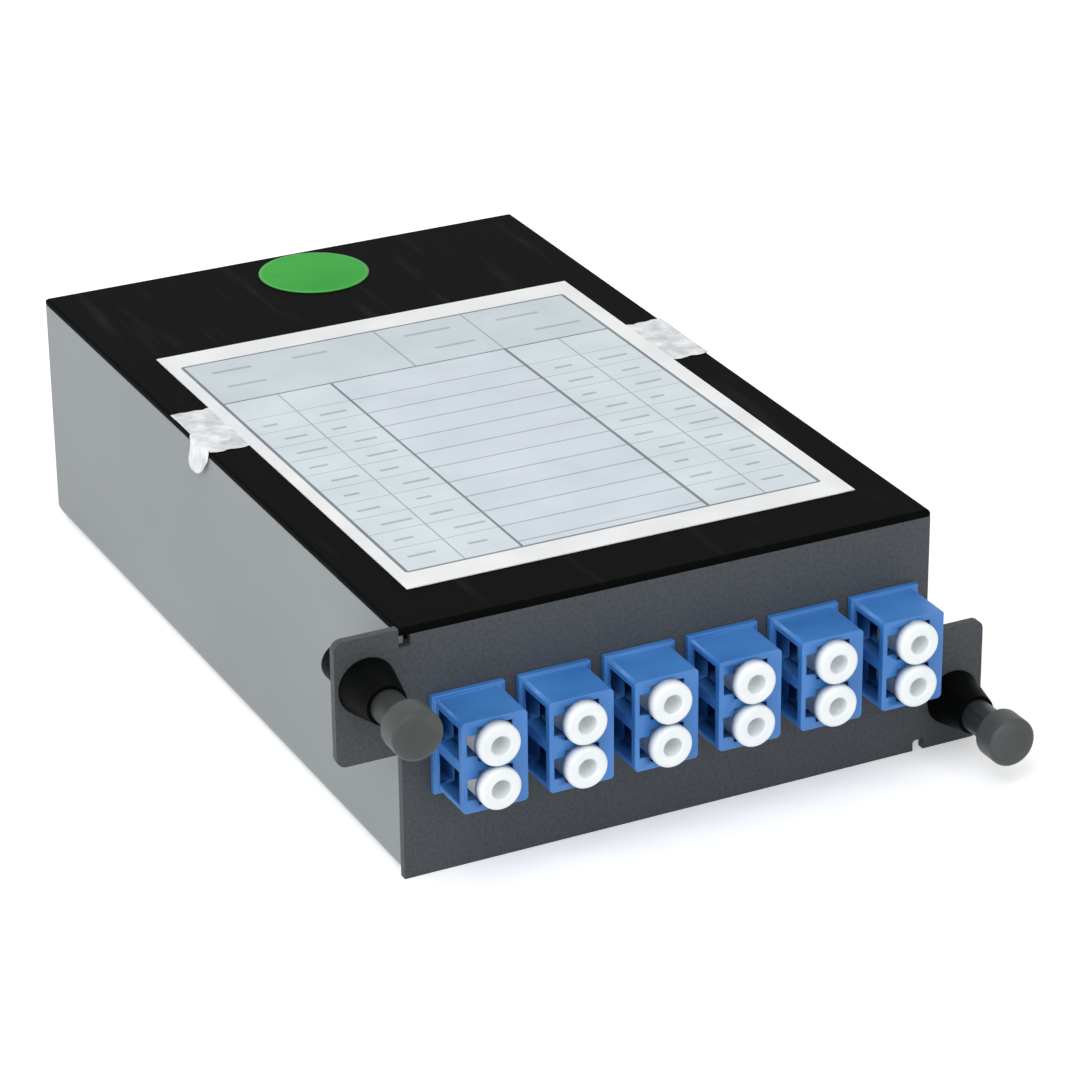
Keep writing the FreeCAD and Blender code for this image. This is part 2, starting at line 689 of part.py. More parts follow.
def all_nodes():
    """Every piece of the cassette by name."""
    nodes = {
        "tray": tray(),
        "lid": lid(),
        "front_panel": front_panel(),
        "label": label(),
        "round_sticker": round_sticker(),
        "mpo_adapter": mpo_adapter(),
        "mpo_plug": mpo_plug(),
        "mt_ferrule": mt_ferrule(),
        "mpo_collar": mpo_collar(),
        "mpo_boot": mpo_boot(),
        "mpo_dust_cap": mpo_dust_cap(),
        "ribbon_cable": ribbon_cable(),
        "fibre_guide": fibre_guide(),
        "fanout_block": fanout_block(),
        "fanout_bracket": fanout_bracket(),
    }
    for i, x in enumerate(adapter_x):
        n = i + 1
        nodes[f"lc_adapter_{n}"] = lc_adapter(x)
        nodes[f"lc_plug_{n}"] = lc_plug(x)
        nodes[f"fibre_lead_{n}"] = fibre_lead(i)
        for level, z in zip(("upper", "lower"), port_z):
            nodes[f"dust_cap_{n}_{level}"] = dust_cap(x, z)
    for side, (x, z) in latches.items():
        nodes[f"latch_grommet_{side}"] = latch_grommet(x, z)
        nodes[f"latch_plunger_{side}"] = latch_plunger(x, z)
    return nodes


os.makedirs("parts", exist_ok=True)
for name, shape in all_nodes().items():
    shape.exportStep(f"parts/{name}.step")
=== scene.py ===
# %% [markdown]
# # A fibre cassette
#
# The object is a flat box from a telecoms rack: a folded steel tray with a moulded lid, six blue
# duplex adapters in the front with white dust caps, and a push-pull latch in each ear.
# The CAD model gives every piece its size and place. Here the pieces get what the CAD leaves out:
# rounded edges, print, paper that has been folded by hand, and the finish of each material.

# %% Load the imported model
import json
import math

import bmesh
import bpy
from mathutils import Matrix, Vector, noise

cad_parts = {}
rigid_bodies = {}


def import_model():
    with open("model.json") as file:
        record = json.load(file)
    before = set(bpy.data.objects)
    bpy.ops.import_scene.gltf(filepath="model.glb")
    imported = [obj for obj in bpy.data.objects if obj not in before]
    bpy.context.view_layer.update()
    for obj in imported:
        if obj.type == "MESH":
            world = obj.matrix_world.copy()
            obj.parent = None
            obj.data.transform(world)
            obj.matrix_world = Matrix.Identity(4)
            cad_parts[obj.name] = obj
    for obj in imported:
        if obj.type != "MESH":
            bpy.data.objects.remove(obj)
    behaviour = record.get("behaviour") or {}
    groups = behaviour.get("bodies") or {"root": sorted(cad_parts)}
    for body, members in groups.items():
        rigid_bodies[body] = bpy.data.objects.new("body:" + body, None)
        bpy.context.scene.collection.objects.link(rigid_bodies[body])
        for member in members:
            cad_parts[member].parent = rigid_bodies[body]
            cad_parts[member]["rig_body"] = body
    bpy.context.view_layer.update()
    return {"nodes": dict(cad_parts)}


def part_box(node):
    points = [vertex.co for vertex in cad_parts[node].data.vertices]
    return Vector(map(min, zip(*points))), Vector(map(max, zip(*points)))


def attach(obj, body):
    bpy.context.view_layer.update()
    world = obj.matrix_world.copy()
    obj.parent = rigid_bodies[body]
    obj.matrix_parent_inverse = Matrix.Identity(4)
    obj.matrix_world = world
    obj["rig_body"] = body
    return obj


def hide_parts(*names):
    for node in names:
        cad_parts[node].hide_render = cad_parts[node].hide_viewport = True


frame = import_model()
MM = 0.001

# %% [markdown]
# ## Finishes
#
# Each finish is a small node tree. Such a tree can be wired by hand in the shader editor; in a
# script, one helper adds any node: what it is given as a socket it links, and anything else it
# sets. Colours are written as sRGB hex, the way a colour chart gives them, and turned into the
# linear numbers that the shader expects.

# %% Helpers for materials


def linear(hex_colour):
    """sRGB hex to linear RGBA."""
    channels = [int(hex_colour[i : i + 2], 16) / 255 for i in (1, 3, 5)]
    return [c / 12.92 if c <= 0.04045 else ((c + 0.055) / 1.055) ** 2.4 for c in channels] + [1.0]


def feed(owner, node, inputs):
    """Link the inputs that are given as sockets, and set the others."""
    for name, value in inputs.items():
        if isinstance(value, bpy.types.NodeSocket):
            owner.node_tree.links.new(value, node.inputs[name])
        else:
            node.inputs[name].default_value = value


def add_node(owner, kind, inputs=None, **settings):
    """Add a node to a material or world, with its settings, values and links."""
    node = owner.node_tree.nodes.new(kind)
    for name, value in settings.items():
        setattr(node, name, value)
    feed(owner, node, inputs or {})
    return node


def new_material(name):
    """Material, its shader, and its Object coordinates."""
    material = bpy.data.materials.new(name)
    material.use_nodes = True
    place = add_node(material, "ShaderNodeTexCoord").outputs["Object"]
    return material, material.node_tree.nodes["Principled BSDF"], place


print("middle grey #808080 in linear light:", [round(c, 3) for c in linear("#808080")[:3]])

# %% [markdown]
# Two patterns come back in almost every finish. No real surface has one flat colour, so the tone
# drifts between two close ones in soft blobs. And no real surface is a mirror plane, so a finer
# noise bumps the light. Both read Object coordinates, which are in metres here, so the scale of a
# noise is one over the real size of its blobs. A noise stays near its middle value, and a Map
# Range spreads that middle over the whole mix.

# %% Patterns that the finishes share


def drifting_tone(material, place, blob_mm, dark, light, detail=3.0):
    """Colour that drifts between two tones in blobs of a size, and the noise behind it."""
    cloud = add_node(material, "ShaderNodeTexNoise", {
        "Vector": place, "Scale": 1 / (blob_mm * MM), "Detail": detail,
    })
    spread = add_node(material, "ShaderNodeMapRange", {
        "Value": cloud.outputs["Fac"], "From Min": 0.35, "From Max": 0.65,
    })
    tones = {"Factor": spread.outputs["Result"], "A": linear(dark), "B": linear(light)}
    tone = add_node(material, "ShaderNodeMix", tones, data_type="RGBA")
    return tone.outputs["Result"], cloud.outputs["Fac"]


def fine_skin(material, place, grain_mm, height_mm, detail=2.0):
    """Normal of a surface with grains of a size and a height."""
    grain = add_node(material, "ShaderNodeTexNoise", {
        "Vector": place, "Scale": 1 / (grain_mm * MM), "Detail": detail,
    })
    skin = add_node(material, "ShaderNodeBump", {
        "Height": grain.outputs["Fac"], "Distance": height_mm * MM,
    })
    return skin.outputs["Normal"]


print("a noise with blobs of 40 mm has the scale", 1 / (40 * MM))

# %% [markdown]
# The tray is zinc-plated steel sheet under a thin satin grey paint. Sprayed paint dries with a
# soft orange peel about 1 mm across, which breaks up the highlights on the big flat walls. The
# coat is never quite even, so its gloss drifts with its tone: one noise drives both.

# %% Satin paint on the tray
ORANGE_PEEL_MM = 1.1


def satin_grey_paint():
    """Sprayed paint on sheet: soft orange peel, slow drift of tone and gloss."""
    material, shader, place = new_material("satin_grey_paint")
    tone, drift = drifting_tone(material, place, 40, "#83898c", "#8b9195")
    gloss = add_node(material, "ShaderNodeMapRange", {"Value": drift, "To Min": 0.38, "To Max": 0.5})
    feed(material, shader, {
        "Base Color": tone, "Roughness": gloss.outputs["Result"], "Specular IOR Level": 0.4,
        "Normal": fine_skin(material, place, ORANGE_PEEL_MM, 0.012),
    })
    return material


tray_paint = satin_grey_paint()
print(tray_paint.name, "has", len(tray_paint.node_tree.nodes), "nodes")

# %% [markdown]
# The panel is the same sheet with a dark powder coat. Powder melts into closely packed grains
# with dull pits between them, so one fine noise drives three things together: the height, a
# rougher finish in the pits and a darker tone there, which is painted shade. The grains are drawn
# at 0.5 mm, a little coarser than life, so that they show. Handling leaves the coat paler in
# places, and a second, slow noise mixes that in.

# %% Powder coat on the panel
GRAIN_MM = 0.5
HANDLED_MM = 14


def dark_powder_coat():
    """Fine-textured powder: shiny grains, dull low spots darkened by painted shade, paler where it was
    handled.
    """
    material, shader, place = new_material("dark_powder_coat")
    grain = add_node(material, "ShaderNodeTexNoise", {
        "Vector": place, "Scale": 1 / (GRAIN_MM * MM), "Detail": 2.0,
    })
    height = grain.outputs["Fac"]
    # Painted shade: the low points of the grain noise get the darker of the two tones.
    pit_shade = add_node(material, "ShaderNodeMapRange", {"Value": height, "From Min": 0.3, "From Max": 0.6})
    tones = {"Factor": pit_shade.outputs["Result"], "A": linear("#3a3e40"), "B": linear("#464a4d")}
    coat = add_node(material, "ShaderNodeMix", tones, data_type="RGBA")
    cloud = add_node(material, "ShaderNodeTexNoise", {
        "Vector": place, "Scale": 1 / (HANDLED_MM * MM), "Detail": 3.0,
    })
    handled = add_node(material, "ShaderNodeMapRange", {
        "Value": cloud.outputs["Fac"], "To Min": 0.0, "To Max": 0.25,
    })
    tones = {"Factor": handled.outputs["Result"], "A": coat.outputs["Result"], "B": linear("#5a6068")}
    tone = add_node(material, "ShaderNodeMix", tones, data_type="RGBA")
    gloss = add_node(material, "ShaderNodeMapRange", {"Value": height, "To Min": 0.66, "To Max": 0.44})
    skin = add_node(material, "ShaderNodeBump", {"Height": height, "Distance": 0.022 * MM})
    feed(material, shader, {
        "Base Color": tone.outputs["Result"], "Roughness": gloss.outputs["Result"],
        "Specular IOR Level": 0.25, "Normal": skin.outputs["Normal"],
    })
    return material


panel_powder = dark_powder_coat()
print(panel_powder.name, "has", len(panel_powder.node_tree.nodes), "nodes")

# %% [markdown]
# The lid is moulded in black ABS. Its mould was spark-eroded, which leaves a texture too fine to
# see that scatters the light and keeps the lid nearly black from every side. What does show are
# rubs from handling: long faint streaks that are a little shinier. They could be painted by hand
# on an image. Here they are a noise that a Mapping node stretches to ten times its length along
# the box, so they stay sharp at any distance.

# %% Spark-eroded ABS of the lid
STREAK_MM = 3


def spark_eroded_abs():
    """Near-black moulding with faint rubbed streaks."""
    material, shader, place = new_material("spark_eroded_abs")
    stretch = add_node(material, "ShaderNodeMapping", {"Vector": place, "Scale": (1.0, 0.1, 1.0)})
    streak = add_node(material, "ShaderNodeTexNoise", {
        "Vector": stretch.outputs["Vector"], "Scale": 1 / (STREAK_MM * MM), "Detail": 4.0,
    })
    rubbed = add_node(material, "ShaderNodeMapRange", {
        "Value": streak.outputs["Fac"], "From Min": 0.55, "From Max": 0.8,
    }).outputs["Result"]
    gloss = add_node(material, "ShaderNodeMapRange", {"Value": rubbed, "To Min": 0.6, "To Max": 0.42})
    tones = {"Factor": rubbed, "A": linear("#060706"), "B": linear("#101110")}
    tone = add_node(material, "ShaderNodeMix", tones, data_type="RGBA")
    feed(material, shader, {
        "Base Color": tone.outputs["Result"], "Roughness": gloss.outputs["Result"],
        "Specular IOR Level": 0.02, "Normal": fine_skin(material, place, 0.35, 0.012),
    })
    return material


lid_abs = spark_eroded_abs()
print(lid_abs.name, "has", len(lid_abs.node_tree.nodes), "nodes")

# %% [markdown]
# The other hard plastics differ only in colour, gloss and mould texture, so one function makes
# them all. The latches are nylon, near black with a dull sheen, and their knobs are rubbed
# greyer. The adapters are PBT in the blue that marks single-mode ports, denser and shinier. Light
# that gets into a latch window bounces from blue wall to blue wall, and each bounce takes more of
# the red and green, so the hollows turn navy by themselves.

# %% Moulded plastics


def moulded(name, dark, light, roughness, specular, texture_mm):
    """Moulding with a flow of tone and the texture of its mould."""
    material, shader, place = new_material(name)
    tone, flow = drifting_tone(material, place, 9, dark, light)
    gloss = add_node(material, "ShaderNodeMapRange", {
        "Value": flow, "To Min": roughness - 0.05, "To Max": roughness + 0.05,
    })
    feed(material, shader, {
        "Base Color": tone, "Roughness": gloss.outputs["Result"], "Specular IOR Level": specular,
        "Normal": fine_skin(material, place, texture_mm, 0.01),
    })
    return material


latch_nylon = moulded("latch_nylon", "#050606", "#0b0c0c", 0.5, 0.03, 0.6)
knob_nylon = moulded("knob_nylon", "#3c3f3f", "#474b4b", 0.45, 0.35, 0.6)
adapter_pbt = moulded("blue_pbt", "#3674bc", "#4382c9", 0.33, 0.5, 0.5)
plug_pbt = moulded("plug_blue_pbt", "#2f6cb4", "#3877c0", 0.35, 0.5, 0.5)
port_pbt = moulded("black_pbt", "#1c1d1e", "#242526", 0.4, 0.4, 0.5)
collar_pbt = moulded("green_pbt", "#3a7a45", "#438750", 0.38, 0.45, 0.5)
guide_abs = moulded("white_abs", "#d4d6d5", "#dedfde", 0.45, 0.4, 0.5)
ferrule_compound = moulded("filled_ferrule_compound", "#232426", "#2d2e30", 0.5, 0.4, 0.3)
yellow_jacket = moulded("yellow_cord_jacket", "#e3c63c", "#ecd252", 0.4, 0.4, 0.8)
boot_rubber = moulded("black_boot_rubber", "#1a1a1a", "#222222", 0.62, 0.3, 0.6)
print("finishes so far:", len(bpy.data.materials))

# %% [markdown]
# Dust caps are soft polyethylene. It is milky: light goes in at one place and comes out a
# millimetre away, so the rims glow and the recess is never black. A mix with a Translucent shader
# could fake that on a thin wall. These caps are thick, so Subsurface does it, with a radius near
# the real one. The surface is waxy, with a low, broad highlight.

# %% Polyethylene of the dust caps


def milky_polyethylene():
    """Translucent, soft and slightly waxy."""
    material, shader, place = new_material("milky_polyethylene")
    cloud = add_node(material, "ShaderNodeTexNoise", {
        "Vector": place, "Scale": 1 / (2.5 * MM), "Detail": 3.0,
    })
    tones = {"Factor": cloud.outputs["Fac"], "A": linear("#e4ebef"), "B": linear("#f8fbfb")}
    tone = add_node(material, "ShaderNodeMix", tones, data_type="RGBA")
    feed(material, shader, {
        "Base Color": tone.outputs["Result"], "Roughness": 0.38, "Specular IOR Level": 0.45,
        "Subsurface Weight": 0.4, "Subsurface Radius": (0.9, 1.0, 1.1),
        "Subsurface Scale": 1.2 * MM, "Normal": fine_skin(material, place, 0.8, 0.01),
    })
    return material


cap_polyethylene = milky_polyethylene()
print(cap_polyethylene.name, "has", len(cap_polyethylene.node_tree.nodes), "nodes")

# %% [markdown]
# Label stock is coated paper: matt and cool white. Its fibres are too fine to see, but they leave
# the sheet a little uneven, and it never lies quite flat. Ink is only a change of colour on the
# same surface, so one function makes the bare stock and every ink. All of them share the bump,
# and no edge shows between them. Only the stock of the seal tabs is crumpled: its waves are
# higher, and its tone darkens in small patches, which is painted shade of the creases.

# %% Paper and ink


def paper(name, dark, light, wave_mm=0.02, blob_mm=9):
    """Coated label stock, or ink printed on it, with waves of a given height."""
    material, shader, place = new_material(name)
    tone, _ = drifting_tone(material, place, blob_mm, dark, light, detail=4.0)
    feed(material, shader, {
        "Base Color": tone, "Roughness": 0.6, "Specular IOR Level": 0.2,
        "Normal": fine_skin(material, place, 2.2, wave_mm, detail=4.0),
    })
    return material


bare_stock = paper("label_stock_white", "#eceeef", "#f7f8f8")
# The darker tone of the seal-tab stock is painted shade of its creases, not a colour of the paper.
creased_stock_painted_shade = paper("label_stock_creased_painted_shade", "#ccd1d4", "#f6f7f8", wave_mm=0.5, blob_mm=2.5)
tint_blue = paper("label_tint_blue", "#d5dfe5", "#dee8ec")
tint_grey = paper("label_tint_grey", "#d3dbe4", "#dbe3eb")
tint_head = paper("label_tint_heading", "#ccd6dc", "#d5dee3")
ink_line = paper("label_ink_grey", "#a9b2b8", "#b4bcc2")
ink_heavy = paper("label_ink_dark", "#7b858b", "#8a9399")
ink_mark = paper("label_ink_mark", "#abb7be", "#b7c2c8")
sticker_green = paper("sticker_green", "#30a036", "#3cac41")
sticker_edge = paper("sticker_edge_green", "#4cab50", "#59b45d")
print("finishes in all:", len(bpy.data.materials))

# %% [markdown]
# ## Rounding the CAD pieces
#
# A CAD solid has knife edges, and nothing real does: sheet metal is deburred, and a mould leaves
# a small radius. A Bevel modifier could round a piece too, but it can't leave out one edge by
# where it lies, as some of these pieces need. So each hard piece is a merged copy of its CAD node,
# with the edges that turn by more than 30 degrees bevelled in code. Round walls turn by less and
# stay round. A Weighted Normal modifier then keeps the flat faces flat under smooth shading.

# %% Helpers for pieces


def mesh_piece(name, bm, materials, body, replaces=None):
    """Turn a bmesh into an object that rides on a body, and may stand for CAD nodes."""
    mesh = bpy.data.meshes.new(name)
    bm.to_mesh(mesh)
    bm.free()
    for polygon in mesh.polygons:
        polygon.use_smooth = True
    for material in materials:
        mesh.materials.append(material)
    piece = bpy.data.objects.new(name, mesh)
    bpy.context.scene.collection.objects.link(piece)
    weighted = piece.modifiers.new("weighted_normals", "WEIGHTED_NORMAL")
    weighted.keep_sharp = True
    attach(piece, body)
    if replaces:
        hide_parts(*replaces)
    return piece


def merged_copy(node):
    """Bmesh of a CAD node with its loose triangles joined and its flat faces whole."""
    bm = bmesh.new()
    bm.from_mesh(frame["nodes"][node].data)
    bmesh.ops.remove_doubles(bm, verts=bm.verts, dist=2e-6)
    bmesh.ops.dissolve_limit(
        bm, angle_limit=math.radians(1), use_dissolve_boundaries=False, verts=bm.verts, edges=bm.edges
    )
    return bm


def body_of_node(node):
    """Name of the CAD body that holds a node."""
    return frame["nodes"][node]["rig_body"]


print("bodies that pieces ride on:", len({body_of_node(node) for node in frame["nodes"]}))

# %% Helpers for edges
SHARP_DEG = 30


def sharp_edges(bm):
    """Edges between two faces that turn by more than the sharp angle."""
    limit = math.radians(SHARP_DEG)
    return [e for e in bm.edges if len(e.link_faces) == 2 and e.calc_face_angle(0) > limit]


def round_edges(bm, edges, radius_mm, segments=2):
    """Bevel edges to a radius; the defaults differ from the editor's, so they are given."""
    bmesh.ops.bevel(
        bm, geom=edges, offset=radius_mm * MM, offset_type="OFFSET", segments=segments,
        profile=0.5, affect="EDGES", clamp_overlap=True, material=-1,
    )
    bm.normal_update()


def rounded(node, material, radius_mm, segments=2):
    """Stand-in for a hard CAD piece, with its edges rounded."""
    bm = merged_copy(node)
    round_edges(bm, sharp_edges(bm), radius_mm, segments)
    return mesh_piece(f"{node}_rounded", bm, [material], body_of_node(node), [node])


print("an edge counts as sharp above", SHARP_DEG, "degrees")

# %% Sheet metal and lid
SHEET_ROLL = 0.14
for node, material in (("tray", tray_paint), ("front_panel", panel_powder), ("lid", lid_abs)):
    piece = rounded(node, material, SHEET_ROLL)
    print(node, "faces:", len(piece.data.polygons))

# %% [markdown]
# The adapters are the brightest pieces and are seen from close by. A radius of 0.15 mm on every
# outer edge is what makes the collars and the latch windows read as moulded. Only ridges are
# rounded, not hollow corners, and nothing on the side wall of a port: the strip that the window
# leaves there is thinner than the radius. The real moulding is cored out at the end of each
# window, to save plastic. A boolean could cut that, but two insets of the end face do it with
# fewer faces: the first leaves the rim, and the second is pushed in.

# %% Adapters and rear port
EDGE_ROLL = 0.15
PORT_W = 4.8
WINDOW_INSET, WINDOW_L = 1.1, 6.0
CORE_RIM, CORE_DRAFT, CORE_DEPTH = 0.15, 0.05, 5.0


def on_plane(part, axis, value):
    """Whether every corner of an edge or face lies on a plane square to an axis."""
    return all(abs(vert.co[axis] - value) < 1e-5 for vert in part.verts)


def duplex_adapter(node):
    """Adapter with rounded ridges and a core hole behind each latch window."""
    low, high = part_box(node)
    port_wall = (low.x + high.x) / 2 - PORT_W / 2 * MM
    window_end = low.y + (WINDOW_INSET + WINDOW_L) * MM
    bm = merged_copy(node)
    ridges = [e for e in sharp_edges(bm) if e.is_convex and not on_plane(e, 0, port_wall)]
    round_edges(bm, ridges, EDGE_ROLL)
    ends = [f for f in bm.faces if f.normal.y < -0.99 and on_plane(f, 1, window_end)]
    bmesh.ops.inset_region(bm, faces=ends, thickness=CORE_RIM * MM, use_even_offset=True)
    bmesh.ops.inset_region(
        bm, faces=ends, thickness=CORE_DRAFT * MM, depth=-CORE_DEPTH * MM, use_even_offset=True
    )
    bm.normal_update()
    print(node, "ridges:", len(ridges), "window ends:", len(ends))
    return mesh_piece(f"{node}_rounded", bm, [adapter_pbt], body_of_node(node), [node])


for number in range(1, 7):
    duplex_adapter(f"lc_adapter_{number}")
rounded("mpo_adapter", port_pbt, EDGE_ROLL)
rounded("mpo_dust_cap", port_pbt, 2 * EDGE_ROLL, 3)

# %% [markdown]
# ## Turned pieces
#
# A dust cap and a latch knob are round, and their edges aren't all alike: the rim of a cap is soft
# and full, the lip of its recess is a tight roll. They could be spun anew from a profile, but then
# they would have to be kept in step with the CAD. So each ring of edges is picked on the CAD node
# by its radius and its place along the axis, and gets its own bevel.

# %% Helpers for turned pieces


def turned_head(node):
    """Axis (x, z), radius in mm and front face of a piece that is turned about a Y axis."""
    low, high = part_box(node)
    return (low.x + high.x) / 2, (low.z + high.z) / 2, (high.x - low.x) / 2 / MM, low.y


def ring(bm, x, z, radius_mm, y, reach_mm=0.12):
    """Edges that lie on a circle about a Y axis through x, z."""

    def on_ring(vert):
        out = math.hypot(vert.co.x - x, vert.co.z - z) / MM
        return abs(out - radius_mm) < reach_mm and abs(vert.co.y - y) < reach_mm * MM

    return [edge for edge in bm.edges if all(on_ring(vert) for vert in edge.verts)]


print("radius of a dust cap in mm:", round(turned_head("dust_cap_1_upper")[2], 2))

# %% Dust caps
CAP_RECESS_R = 1.3
RIM_ROLL, LIP_ROLL = 0.55, 0.28


def dust_cap(node):
    """Cap with a soft rim, a rolled lip and a square plug behind its head."""
    x, z, radius, front = turned_head(node)
    bm = merged_copy(node)
    round_edges(bm, ring(bm, x, z, radius, front), RIM_ROLL, 4)
    round_edges(bm, ring(bm, x, z, CAP_RECESS_R, front), LIP_ROLL, 3)
    return mesh_piece(f"{node}_soft", bm, [cap_polyethylene], body_of_node(node), [node])


levels = ("upper", "lower")
caps = [dust_cap(f"dust_cap_{number}_{level}") for number in range(1, 7) for level in levels]
print("dust caps:", len(caps), "with faces:", len(caps[0].data.polygons))

# %% [markdown]
# The knob of a latch is pushed with a thumb, so its face has a shallow dish inside a raised rim:
# two insets of the face, the second a little deeper, make it. The latch body behind it keeps its
# CAD cone, with moulded radii.

# %% Latches
KNOB_L = 4.2
FACE_ROLL, BACK_ROLL = 0.7, 0.5
DISH_RIM, DISH_DEPTH = 0.5, 0.3


def latch_knob(node):
    """Plunger with a rounded knob and a dished face."""
    x, z, radius, front = turned_head(node)
    bm = merged_copy(node)
    round_edges(bm, ring(bm, x, z, radius, front), FACE_ROLL, 4)
    round_edges(bm, ring(bm, x, z, radius, front + KNOB_L * MM), BACK_ROLL, 3)
    face = [f for f in bm.faces if f.normal.y < -0.99 and f.calc_center_median().y < front + 0.1 * MM]
    for depth in (0, DISH_DEPTH):
        bmesh.ops.inset_region(
            bm, faces=face, thickness=DISH_RIM * MM, depth=-depth * MM, use_even_offset=True
        )
    bm.normal_update()
    return mesh_piece(f"{node}_dished", bm, [knob_nylon], body_of_node(node), [node])


for side in ("left", "right"):
    knob = latch_knob(f"latch_plunger_{side}")
    barrel = rounded(f"latch_grommet_{side}", latch_nylon, 0.2, 3)
    print(side, "latch faces:", len(knob.data.polygons) + len(barrel.data.polygons))

# %% [markdown]
# ## Label
#
# The label is one sheet of paper. Its print is a form: a frame, a heading, columns and ten rows,
# with faint short bars where someone has written. Nothing on it is lettering. An image texture
# would do for the print, but it goes soft close up. Here the form is a list of rectangles, and the
# sheet is cut by a plane along every side of each one. Each small face then takes the ink of the
# last rectangle that its middle falls in, so the print is crisp at any distance.

# %% Measures of the form
label_low, label_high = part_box("label")
LID_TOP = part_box("lid")[1].z
PAPER_T = 0.15
SHEET_X = 33.2
SHEET_Y = (label_low.y / MM, label_high.y / MM)
LEFT_X, RIGHT_X = -31.1, 30.3
FRONT_Y, BACK_Y = SHEET_Y[0] + 4.5, SHEET_Y[1] - 4.8
COLUMN_X = (-14.4, 13.3)
SPLIT_X = (-22.7, 22.0)
HEAD_Y, HEAD_SPLIT_X = 13.0, -0.9
HEAD_MARKS = (
    (-28.0, 24.2), (-15.5, 24.2), (2.4, 24.2), (17.0, 23.6), (-28.0, 18.6), (4.5, 18.0), (20.5, 17.6)
)
ROWS, ROW_TOP, ROW_PITCH = 10, 6.0, 5.33
print("form in mm:", round(RIGHT_X - LEFT_X, 1), "by", round(BACK_Y - FRONT_Y, 1))

# %% Fields of the form
INKS = [bare_stock, tint_head, tint_blue, tint_grey, ink_line, ink_heavy, ink_mark]
WHITE, HEAD, BLUE, GREY, LINE, HEAVY, MARK = range(len(INKS))


def across(x0, x1, y, width, ink):
    """Line along X."""
    return x0, x1, y - width / 2, y + width / 2, ink


def along(x, y0, y1, width, ink):
    """Line along Y."""
    return x - width / 2, x + width / 2, y0, y1, ink


def row_fields(row):
    """Lines under one row and the short bars of writing in it, no two rows alike."""
    y = ROW_TOP - row * ROW_PITCH
    fields = [across(*COLUMN_X, y, 0.32, LINE)]
    fields += [across(LEFT_X, COLUMN_X[0], y, 0.16, LINE), across(COLUMN_X[1], RIGHT_X, y, 0.16, LINE)]
    starts = (LEFT_X + 2.0, SPLIT_X[0] + 1.8, COLUMN_X[1] + 2.2, SPLIT_X[1] + 1.6)
    for number, start in enumerate(starts):
        x = start + (row * 5 + number) % 3 * 0.5
        length = 2.2 + (row * 7 + number * 3) % 5 * 0.6
        fields.append(across(x, x + length, y - 0.55 * ROW_PITCH, 0.6, MARK))
    return fields


def heading_fields():
    """Boxes of the heading, with a bar or two of writing in each."""
    fields = [(LEFT_X, RIGHT_X, HEAD_Y, BACK_Y, HEAD), along(HEAD_SPLIT_X, HEAD_Y, BACK_Y, 0.35, LINE)]
    for x, y in HEAD_MARKS:
        fields.append(across(x, x + 5.0 + abs(x) % 3, y, 0.7, MARK))
    return fields


def frame_fields():
    """Rules that divide the columns and frame the form."""
    fields = [along(x, FRONT_Y, HEAD_Y, 0.25, LINE) for x in SPLIT_X]
    fields.append(along(COLUMN_X[0], FRONT_Y, HEAD_Y, 0.4, HEAVY))
    fields.append(along(COLUMN_X[1], FRONT_Y, HEAD_Y, 0.5, HEAVY))
    fields.append(along(COLUMN_X[1], HEAD_Y, BACK_Y, 0.3, LINE))
    fields.append(across(LEFT_X, RIGHT_X, HEAD_Y, 0.35, HEAVY))
    fields += [across(LEFT_X, RIGHT_X, y, 0.4, HEAVY) for y in (FRONT_Y, BACK_Y)]
    fields += [along(x, FRONT_Y, BACK_Y, 0.5, HEAVY) for x in (LEFT_X, RIGHT_X)]
    return fields


def printed_fields():
    """Rectangles of print as (x0, x1, y0, y1, ink), the later ones on top."""
    fields = [(LEFT_X, RIGHT_X, FRONT_Y, HEAD_Y, BLUE), (*COLUMN_X, FRONT_Y, HEAD_Y, GREY)]
    fields += heading_fields()
    for row in range(ROWS):
        fields += row_fields(row)
    fields.append(across(*COLUMN_X, ROW_TOP - ROWS * ROW_PITCH, 0.32, LINE))
    return fields + frame_fields()


form = printed_fields()
print("rectangles of print:", len(form))

# %% Label sheet


def add_sheet(bm, x0, x1, y0, y1, z, step_mm=None):
    """Add a flat sheet between two corners in mm, divided into squares of about a step."""
    spans = (x1 - x0, y1 - y0)
    counts = [1 if step_mm is None else round(span / step_mm) for span in spans]
    place = Matrix.Translation(((x0 + x1) / 2 * MM, (y0 + y1) / 2 * MM, z))
    size = Matrix.Diagonal((spans[0] * MM, spans[1] * MM, 1, 1))
    bmesh.ops.create_grid(bm, x_segments=counts[0], y_segments=counts[1], size=0.5, matrix=place @ size)


def cut_at(bm, axis, value):
    """Cut every face by a plane square to X (axis 0) or Y (axis 1), at a value in mm."""
    normal, point = [0, 0, 0], [0, 0, 0]
    normal[axis], point[axis] = 1, value * MM
    geometry = bm.verts[:] + bm.edges[:] + bm.faces[:]
    bmesh.ops.bisect_plane(bm, geom=geometry, dist=1e-7, plane_co=point, plane_no=normal)


def label_sheet():
    """Paper sheet with its printed form, and its edge turned down to the lid."""
    bm = bmesh.new()
    add_sheet(bm, -SHEET_X, SHEET_X, *SHEET_Y, LID_TOP + PAPER_T * MM)
    for axis in (0, 1):
        for value in sorted({round(field[2 * axis + end], 3) for field in form for end in (0, 1)}):
            cut_at(bm, axis, value)
    for face in bm.faces:
        middle = face.calc_center_median() / MM
        for x0, x1, y0, y1, ink in form:
            if x0 < middle.x < x1 and y0 < middle.y < y1:
                face.material_index = ink
    rim = [e for e in bm.edges if e.is_boundary]
    for edge in rim:
        edge.smooth = False
    turned = bmesh.ops.extrude_edge_only(bm, edges=rim)["geom"]
    down = [v for v in turned if isinstance(v, bmesh.types.BMVert)]
    bmesh.ops.translate(bm, verts=down, vec=(0, 0, -(PAPER_T - 0.02) * MM))
    bm.normal_update()
    return bm


